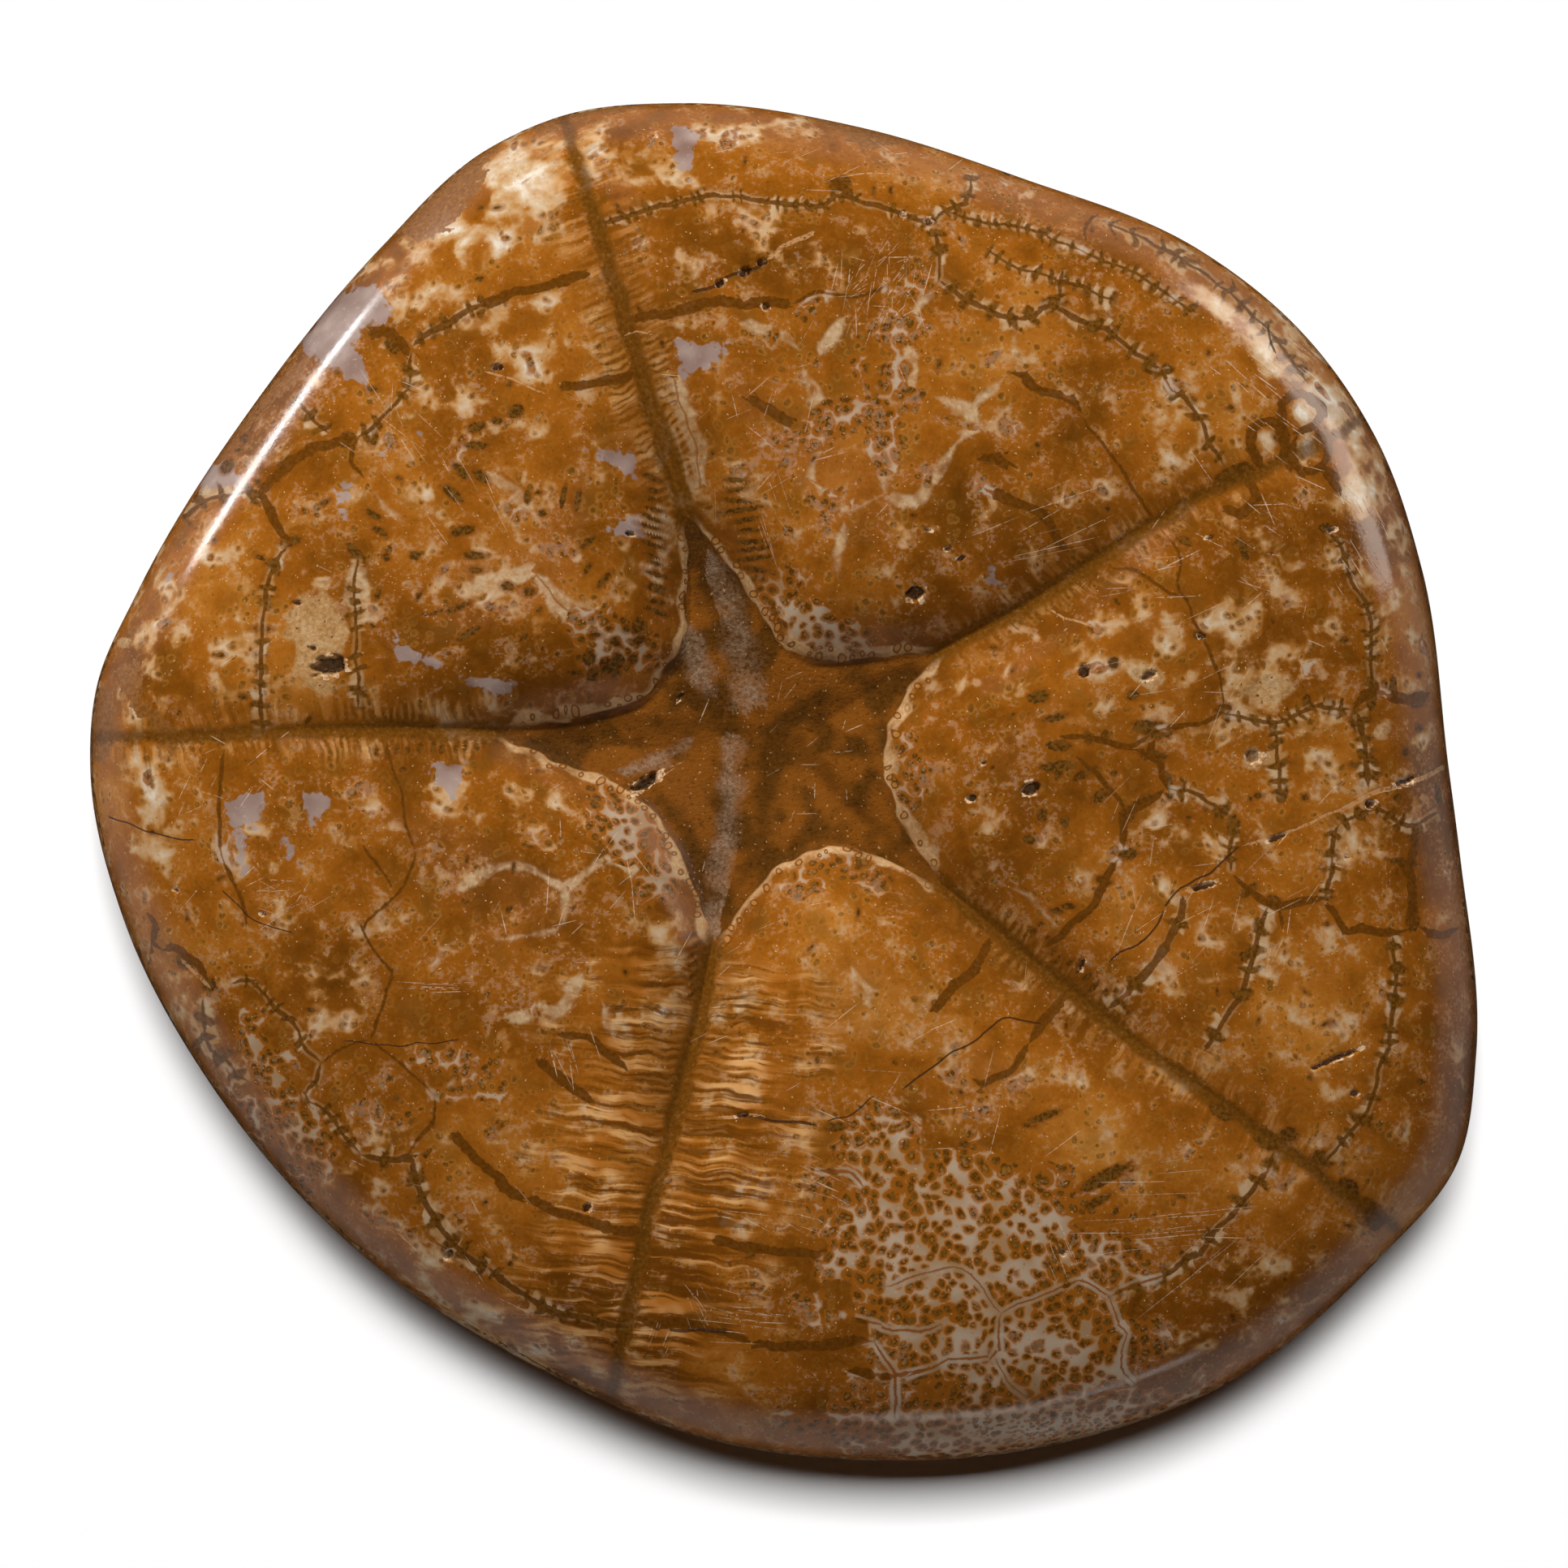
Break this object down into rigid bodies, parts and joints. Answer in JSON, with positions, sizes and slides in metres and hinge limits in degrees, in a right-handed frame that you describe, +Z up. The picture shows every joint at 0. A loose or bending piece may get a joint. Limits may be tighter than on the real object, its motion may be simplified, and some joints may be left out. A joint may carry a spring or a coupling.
{
  "type": "fossil sea urchin",
  "caption": "Polished fossil sea urchin, a rounded pentagonal cushion lying mouth side up, with grooves that meet in a star-shaped hollow over a low petalled dome.",
  "frame": {"origin": "on the surface the fossil rests on, under the middle of its box", "axes": "+Z up, out of the mouth face; +X towards the widest reach of the rim, across the mouth; -Z out of the flat worn foot of the dome"},
  "size_m": [0.085, 0.0834, 0.0291],
  "materials": {
    "polished_fossil": "Polished calcite in amber brown, mottled cream, with dark brown suture lines, rows of pore ticks beside the grooves, ringed dots, grey calcite patches and a dull dark brown sediment floor in the hollow."
  },
  "bodies": {
    "root": {"fossil_sea_urchin": "polished_fossil"}
  },
  "joints": []
}
